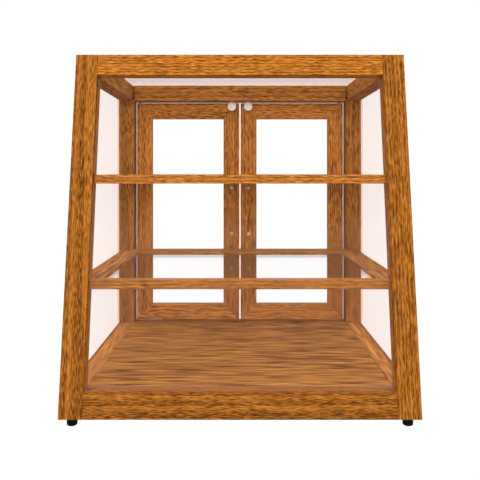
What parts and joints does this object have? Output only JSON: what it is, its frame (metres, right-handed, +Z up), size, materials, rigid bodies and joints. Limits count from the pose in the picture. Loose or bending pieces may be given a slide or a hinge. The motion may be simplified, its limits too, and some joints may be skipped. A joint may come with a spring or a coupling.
{
  "type": "countertop showcase",
  "caption": "Free-standing wooden display case with a leaning front, clear panes, two framed glass shelves and a pair of hinged glass doors at the rear.",
  "frame": {"origin": "centre of the footprint, handles included, on the counter under the feet", "axes": "+X to the customer's right, +Y to the rear, where the doors are, +Z up"},
  "size_m": [0.51, 0.466, 0.5416],
  "materials": {
    "oak": "golden oak stain under satin varnish, open straight grain",
    "clear_pane": "clear polished pane",
    "satin_steel": "satin steel",
    "pale_nickel": "pale nickel plate",
    "black_rubber": "matt black rubber"
  },
  "bodies": {
    "case": {"base_rear_rail": "oak", "base_side_rail_left": "oak", "base_side_rail_right": "oak", "bottom_pivot_left": "satin_steel", "bottom_pivot_right": "satin_steel", "door_stop_left": "pale_nickel", "door_stop_right": "pale_nickel", "floor_panel": "oak", "foot_front_left": "black_rubber", "foot_front_right": "black_rubber", "foot_rear_left": "black_rubber", "foot_rear_right": "black_rubber", "front_bottom_rail": "oak", "front_pane": "clear_pane", "front_post_left": "oak", "front_post_right": "oak", "front_top_rail": "oak", "lower_shelf_front_rail": "oak", "lower_shelf_left_rail": "oak", "lower_shelf_pane": "clear_pane", "lower_shelf_rear_rail": "oak", "lower_shelf_right_rail": "oak", "rear_post_left": "oak", "rear_post_right": "oak", "rear_top_rail": "oak", "side_bead_left": "oak", "side_bead_right": "oak", "side_pane_left": "clear_pane", "side_pane_right": "clear_pane", "top_pane": "clear_pane", "top_pivot_left": "satin_steel", "top_pivot_right": "satin_steel", "top_side_rail_left": "oak", "top_side_rail_right": "oak", "upper_shelf_front_rail": "oak", "upper_shelf_left_rail": "oak", "upper_shelf_pane": "clear_pane", "upper_shelf_rear_rail": "oak", "upper_shelf_right_rail": "oak"},
    "door_left": {"door_left_bottom_rail": "oak", "door_left_hinge_stile": "oak", "door_left_meeting_stile": "oak", "door_left_pane": "clear_pane", "door_left_pull": "satin_steel", "door_left_pull_screw_1": "satin_steel", "door_left_pull_screw_2": "satin_steel", "door_left_strike": "satin_steel", "door_left_top_rail": "oak"},
    "door_right": {"door_right_bottom_rail": "oak", "door_right_hinge_stile": "oak", "door_right_meeting_stile": "oak", "door_right_pane": "clear_pane", "door_right_pull": "satin_steel", "door_right_pull_screw_1": "satin_steel", "door_right_pull_screw_2": "satin_steel", "door_right_strike": "satin_steel", "door_right_top_rail": "oak"}
  },
  "joints": [
    {"name": "door_left_hinge", "type": "hinge", "parent": "case", "child": "door_left", "pos_m": [-0.2089, 0.194, 0.2774], "axis": [0, 0, 1], "range_deg": [0, 110]},
    {"name": "door_right_hinge", "type": "hinge", "parent": "case", "child": "door_right", "pos_m": [0.2089, 0.194, 0.2774], "axis": [0, 0, -1], "range_deg": [0, 110]}
  ]
}
